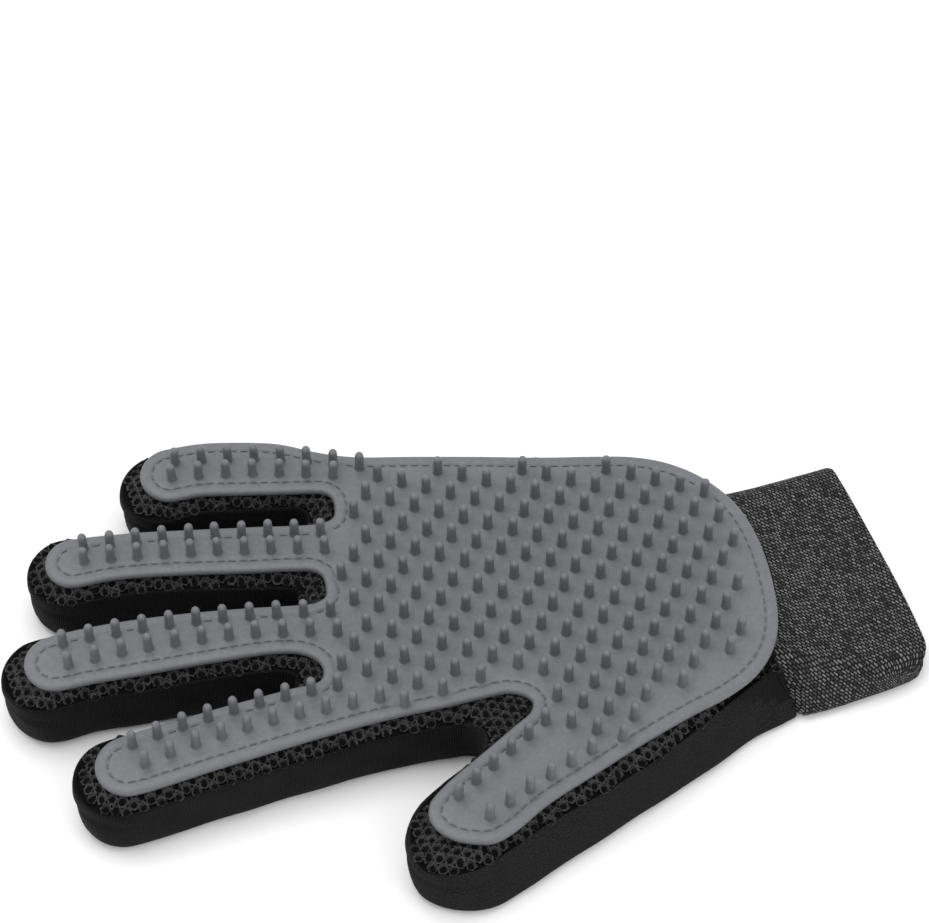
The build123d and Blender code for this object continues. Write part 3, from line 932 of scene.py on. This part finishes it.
# (x, how far the wall leans in) along the side of the thumb
THUMB_LEAN = [
    (-34.0, 0.0), (-30.0, 1.6), (-24.0, 3.5), (-16.0, 5.0), (0.0, 5.4), (10.0, 4.9), (20.0, 4.2),
    (33.0, 4.0), (46.0, 4.9), (59.0, 6.1), (67.0, 7.2), (76.0, 9.6),
]
# (inset from the wall, height): back panel, back seam, wall, rolled top seam, mesh panel
BACK_ROWS = [(7.0, 0.25), (4.0, 0.2), (2.4, 0.3), (1.9, 0.75)]
WALL_ROWS = [
    (1.6, 0.9), (1.1, 1.1), (0.62, 2.0), (0.25, 3.4), (0.06, 5.2), (0.0, 7.2), (0.04, 9.2),
    (0.1, 11.0), (0.2, 12.8), (0.32, 14.2), (0.45, 15.0), (0.66, 15.42), (0.95, 15.55),
    (1.25, 15.4), (1.5, 14.95),
]
RIM_ROWS = [(1.9, 14.85), (2.5, 15.2), (3.3, 15.85), (4.2, 16.4), (5.2, 16.8), (6.4, 17.0)]


def rim_height(distance):
    """Height of the mesh panel at a distance inside the wall."""
    insets = [row[0] for row in RIM_ROWS]
    heights = [row[1] for row in RIM_ROWS]
    return np.interp(distance, insets, heights)


def wrinkle(outline, height, amount):
    """A small in-and-out wave of the wall: soft puckers that fade towards the seams."""
    u = outline.along[:-1]
    wave = np.sin(u / 5.3 + 1.7 * np.sin(u / 17.0)) + 0.6 * np.sin(u / 2.9 + height * 0.35)
    fade = np.sin(pi * np.clip(height / SEAM_HEIGHT, 0, 1)) ** 0.8
    return amount * wave * fade


def index_near(points, place):
    """Which point is nearest to a place."""
    return int(np.argmin(np.linalg.norm(points - place, axis=1)))


def seam_shift(outline):
    """How far in plan the top seam lies from the wall's foot. The thumb's wall leans in most."""
    points, outward = outline.points, -outline.inward
    thumb = (points[:, 1] < THUMB_WALL_Y) & (outward @ np.array(THUMB_OUTWARD) > 0.05)
    x = [row[0] for row in THUMB_LEAN]
    lean = [row[1] for row in THUMB_LEAN]
    near_side = np.clip(outward @ np.array(NEAR_OUTWARD), 0, 1)
    amount = np.where(thumb, np.interp(points[:, 0], x, lean), NEAR_LEAN * near_side)
    first, turn = index_near(points, WRIST_FROM), index_near(points, WRIST_TURN)
    amount[:first] = smooth_rows(amount, 4)[:first]
    top = points + outline.inward * amount[:, None]
    share = np.linspace(0, 1, turn - first + 2)[:, None]
    top[first - 1:turn + 1] = top[first - 1] + (top[turn] - top[first - 1]) * share
    return top - points


def tip_share(outline):
    """How much each outline point belongs to a fingertip, where the strip's ends are sewn over."""
    share = np.zeros(len(outline))
    for digit in DIGITS:
        station = digit.station(outline.points)
        side = np.abs((outline.points - digit.knuckle) @ digit.left)
        reach = station[side < digit.reach + 1].max()
        near_tip = np.clip((station - (reach - TIP_LENGTH)) / TIP_FADE, 0, 1)
        share = np.maximum(share, np.where(side < digit.reach + 1, near_tip, 0))
    return smooth_rows(share, 4)


def level_height(plan, height):
    """The same height at every plan point."""
    return np.full(len(plan), height)


def make_fabric(materials):
    """The glove's fabric: back panel, side strips and air-mesh panel, divided at the joints."""
    outline = Outline(FABRIC_OUTLINE, FABRIC_SPACING)
    surface = Surface()
    tips = tip_share(outline)
    shift = seam_shift(outline)
    profile, kinds = [], []
    for inset, height in BACK_ROWS:
        profile.append((inset, height, 0))
        kinds.append("back")
    for inset, height in WALL_ROWS:
        depth, middle, width = TIP_CREASE
        crease = depth * tips * np.exp(-((height - middle) / width) ** 2)
        band = TIP_BAND * tips * (height > TIP_BAND_FROM)
        pucker = wrinkle(outline, height, PUCKER)
        profile.append((inset + crease - band + pucker, height, min(1.0, height / SEAM_HEIGHT)))
        kinds.append("side")
    for inset, height in RIM_ROWS:
        profile.append((inset, height, 1))
        kinds.append("mesh")
    kinds = kinds[:-1]
    kinds[len(BACK_ROWS) - 1] = "side"
    kinds[len(BACK_ROWS) + len(WALL_ROWS) - 1] = "mesh"
    points = outline.points
    open_at = np.zeros(len(points), bool)
    open_at[index_near(points, WRIST_FROM):index_near(points, WRIST_TO)] = True
    rows = sweep(surface, outline, profile, kinds, (open_at, ("side", "back")), shift)
    panels = ((rows[-1], RIM_ROWS[-1][1], "mesh"), (rows[0], BACK_ROWS[0][1], "back"))
    for row, height, kind in panels:
        free = even_grid(surface.verts[row][:, :2], FABRIC_GRID, FABRIC_GRID_GAP)
        level = partial(level_height, height=height)
        fill(surface, row, [], free, level, kind, downwards=kind == "back")
    normals = surface.normals()
    centres = surface.centres()
    regions = region_names(centres)
    kinds = np.array(surface.kinds)
    for region in sorted(set(regions)):
        label = "palm" if region == "hand" else region
        for kind, slot in (("mesh", "mesh"), ("back", "back_knit"), ("side", "rib_knit")):
            chosen = np.flatnonzero((regions == region) & (kinds == kind))
            if kind == "side" and region == "hand":
                for part, mask in palm_strips(centres[chosen]).items():
                    make_strip(surface, part, chosen[mask], normals, materials)
                continue
            key = "smooth" if kind == "side" and region.startswith("thumb") else kind
            piece = surface.piece(f"{kind}_{label}", chosen, normals, materials[key])
            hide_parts(f"{label}_{kind}")
            attach(piece, region, fabric=True)
    return points + shift


# Where the palm's side strips start and end in plan
THUMB_STRIP_STATION = 6
THUMB_STRIP_Y = -50
LITTLE_STRIP = (-24, 26)
HIGH_STRIP_Y = 66


def palm_strips(plan):
    """The palm's side strips: the little finger's side, the thumb's side, and the webs."""
    thumb_web = digit_of["thumb"].station(plan) < THUMB_STRIP_STATION
    thumb_side = (plan[:, 1] < THUMB_STRIP_Y) & thumb_web
    little_side = (plan[:, 1] > LITTLE_STRIP[1]) & (plan[:, 0] > LITTLE_STRIP[0])
    high_side = (plan[:, 1] > HIGH_STRIP_Y) | little_side
    return {
        "thumb_side_strip": thumb_side,
        "little_side_strip": high_side & ~thumb_side,
        "web_strips": ~(thumb_side | high_side),
    }


def make_strip(surface, name, chosen, normals, materials):
    """One of the palm's side strips."""
    material = materials["smooth"] if name == "thumb_side_strip" else materials["side"]
    piece = surface.piece(f"fabric_{name}", chosen, normals, material)
    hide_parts(name)
    attach(piece, "hand", fabric=True)


# ---------------------------------------------------------------- air mesh

HOLE_PITCH = 2.65
HOLE_SEGMENTS = 12
# (share of the way from the cell's border to the hole's edge, height above the panel)
STRAND_PROFILE = [(0.0, 0.74), (0.4, 0.62), (0.8, 0.22), (1.0, -0.25)]
HOLE_RADIUS = (0.54, 0.8)
HOLE_DRIFT = 0.1
HOLE_STRETCH = 0.16
BORDER_DRIFT = 0.07
BORDER_STEP = 0.3
LIFT_DRIFT = 0.06
NET_UNDER_PAD = 1.6
NET_FROM_SEAM = 0.9
NET_CELL_GAP = 0.55


def net_cells(pad_outline, seam_loop):
    """The middles of the net's holes, between the pad and the top seam."""
    pad_loop = pad_outline.inset(NET_UNDER_PAD)
    wall_loop = seam_loop + NET_FROM_SEAM * inward_normals(seam_loop)
    low, high = wall_loop.min(0), wall_loop.max(0)
    cells = []
    for k, x in enumerate(np.arange(low[0], high[0], HOLE_PITCH * ROW_SHARE)):
        for y in np.arange(low[1], high[1], HOLE_PITCH):
            cells.append((x, y + (k % 2) * HOLE_PITCH / 2))
    cells = np.array(cells)
    cells = cells[inside(cells, wall_loop) & ~inside(cells, pad_loop)]
    return cells[segment_distance(cells, wall_loop) > NET_CELL_GAP]


def make_net(pad_outline, seam_loop, material):
    """The air mesh that shows round the pad: a net of rounded strands with open holes."""
    cells = net_cells(pad_outline, seam_loop)
    turns = np.radians(np.arange(HOLE_SEGMENTS) * 360 / HOLE_SEGMENTS)
    border_radius = HOLE_PITCH / 2 / np.cos((turns + pi / 6) % (pi / 3) - pi / 6)
    border = np.stack([np.cos(turns), np.sin(turns)], 1)
    surface = Surface()
    pulled = {}

    def nudge(points):
        """Moves border points a little, the same way for cells that share them."""
        moved = []
        for p in points:
            key = (round(p[0] / BORDER_STEP), round(p[1] / BORDER_STEP))
            if key not in pulled:
                pulled[key] = rng.normal(0, BORDER_DRIFT, 2)
            moved.append(p + pulled[key])
        return np.array(moved)

    plan_rows, lift_rows = [], []
    for cell in cells:
        hole = rng.uniform(*HOLE_RADIUS)
        centre = cell + rng.normal(0, HOLE_DRIFT, 2)
        stretch = 1 + rng.normal(0, HOLE_STRETCH)
        edge = centre + border * hole * np.array([stretch, 1 / stretch])
        outer = nudge(cell + border * border_radius[:, None])
        for share, lift in STRAND_PROFILE:
            plan_rows.append(outer + (edge - outer) * share)
            lift_rows.append(np.full(HOLE_SEGMENTS, lift + rng.normal(0, LIFT_DRIFT) * (share > 0)))
    plan = np.concatenate(plan_rows)
    height = rim_height(segment_distance(plan, seam_loop)) + np.concatenate(lift_rows)
    surface.add_verts(np.column_stack([plan, height]))
    per_cell = len(STRAND_PROFILE) * HOLE_SEGMENTS
    for c in range(len(cells)):
        for r in range(len(STRAND_PROFILE) - 1):
            outer_ring = c * per_cell + r * HOLE_SEGMENTS + np.arange(HOLE_SEGMENTS)
            surface.bridge(outer_ring, outer_ring + HOLE_SEGMENTS, "net", mapped=False)
    regions = np.repeat(region_names(cells), (len(STRAND_PROFILE) - 1) * HOLE_SEGMENTS)
    normals = surface.normals()
    for region in sorted(set(regions)):
        label = "palm" if region == "hand" else region
        chosen = np.flatnonzero(regions == region)
        piece = surface.piece(f"net_{label}", chosen, normals, material, normals_kept=False)
        attach(piece, region, fabric=True)


# ---------------------------------------------------------------- cuff

CUFF_AROUND = 96
CUFF_WALL = 1.3
# x, low y, high y, height, and how far the thumb side's foot stands out, from inside the hand
# to the open end
CUFF_SECTIONS = [
    (70.0, -42.0, 16.5, 15.0, 7.0), (76.0, -44.0, 16.2, 14.4, 8.0), (78.0, -46.5, 16.2, 14.1, 8.0),
    (84.0, -48.6, 15.9, 12.9, 6.0), (90.0, -50.6, 16.0, 11.5, 3.6), (100.0, -52.4, 16.4, 9.5, 1.0),
    (110.0, -52.5, 16.8, 8.2, 0.3), (116.6, -52.4, 17.0, 7.8, 0.0),
]
# Above 1, this squares the edge of the tube on the thumb's side.
CUFF_SIDE_POWER = 2.2
CUFF_BOW = 0.0009
CUFF_BOW_MIDDLE = -15.0
CUFF_RIPPLE = 0.22
CUFF_LENGTHWISE = 34
CUFF_LIFT = 0.05
# (x from the open end, inset, map place from the open end) round the lip
CUFF_LIP = [(-0.2, 0.12, -0.2), (0.0, 0.45, 0.1), (0.0, CUFF_WALL - 0.4, 0.6), (-0.25, CUFF_WALL, 1.0)]
# The ring whose girth sets the width of the weave's map
CUFF_MAP_RING = 8
CUFF_CORNERS = ((-52.4, 8.0), (17.0, 3.2))


def end_retreat(y):
    """How far the cuff's open end stands back at a place across it: it is bowed, with round corners."""
    back = CUFF_BOW * (y - CUFF_BOW_MIDDLE) ** 2
    for edge, radius in CUFF_CORNERS:
        short = np.clip(radius - abs(y - edge), 0, radius)
        back = back + radius - np.sqrt(radius ** 2 - short ** 2)
    return back


def cuff_ring(x, inset):
    """The points of one flattened section of the cuff."""
    stations = [s[0] for s in CUFF_SECTIONS]
    low, high, height, foot = (
        np.interp(x, stations, [s[k] for s in CUFF_SECTIONS]) for k in (1, 2, 3, 4)
    )
    turns = np.linspace(0, 2 * pi, CUFF_AROUND, endpoint=False)
    half_width, half_height = (high - low) / 2 - inset, height / 2 - inset
    straight = half_width - half_height
    total = 4 * straight + 2 * pi * half_height
    points = []
    for turn in turns:
        run = turn / (2 * pi) * total
        if run < 2 * straight:
            y, z = straight - run, half_height
        elif run < 2 * straight + pi * half_height:
            angle = (run - 2 * straight) / half_height
            y, z = -straight - half_height * sin(angle), half_height * cos(angle)
        elif run < 4 * straight + pi * half_height:
            y, z = -straight + (run - 2 * straight - pi * half_height), -half_height
        else:
            angle = (run - 4 * straight - pi * half_height) / half_height
            y, z = straight + half_height * sin(angle), -half_height * cos(angle)
        if y < -straight:
            depth = (half_width + y) / half_height
            y = -half_width + half_height * depth ** CUFF_SIDE_POWER
        out = foot * (0.5 - z / height) * (y < 0) * min(1.0, -y / half_width)
        points.append((x, (low + high) / 2 + y - out, height / 2 + z))
    return np.array(points), total


def make_cuff(material):
    """The elastic cuff: a flattened tube of thick webbing with a rounded end."""
    end = CUFF_END_X - 0.3
    xs = list(np.linspace(CUFF_SECTIONS[0][0], end - 0.6, CUFF_LENGTHWISE))
    rings = [(x, 0.0, x) for x in xs]
    rings += [(end + x, inset, end + v) for x, inset, v in CUFF_LIP]
    rings += [(x, CUFF_WALL, 2 * end + 1.2 - x) for x in xs[::-1]]
    surface = Surface()
    rows = []
    totals = []
    for x, inset, _ in rings:
        points, total = cuff_ring(x, inset)
        points[:, 2] += CUFF_LIFT
        wave = np.sin(points[:, 1] / 7.0 + x / 19.0)
        points[:, 2] += CUFF_RIPPLE * wave * (points[:, 2] > 4) * min(1, (x - 66) / 30)
        points[:, 0] -= end_retreat(points[:, 1]) * np.clip((x - 96) / 20, 0, 1) ** 1.5
        totals.append(total)
        rows.append(surface.add_verts(points) + np.arange(CUFF_AROUND))
    width = totals[CUFF_MAP_RING]
    for k in range(len(rows) - 1):
        v0, v1 = rings[k][2], rings[k + 1][2]
        for i in range(CUFF_AROUND):
            j = (i + 1) % CUFF_AROUND
            u0, u1 = i / CUFF_AROUND * width, (i + 1) / CUFF_AROUND * width
            corners = (rows[k][j], rows[k][i], rows[k + 1][i], rows[k + 1][j])
            surface.add_face(corners, "cuff", [(u1, v0), (u0, v0), (u0, v1), (u1, v1)])
    normals = surface.normals()
    piece = surface.piece("cuff_webbing", np.arange(len(surface.faces)), normals, material)
    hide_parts("cuff_band", "wrist_seam")
    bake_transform(piece)


# ---------------------------------------------------------------- build

make_camera()
make_studio()
materials = {
    "mesh": mesh_base_material(),
    "side": rib_material(),
    "smooth": smooth_knit_material("knit_charcoal", (0.0025, 0.0025, 0.0026), (0.024, 0.024, 0.0245)),
    "back": smooth_knit_material("knit_back", (0.003, 0.003, 0.0032), (0.023, 0.023, 0.0235), 1.0),
}
pad_outline, nubs = make_pad(silicone_material())
make_stitches(pad_outline, nubs, thread_material())
seam_loop = make_fabric(materials)
make_net(pad_outline, seam_loop, mesh_strand_material())
make_cuff(elastic_material())
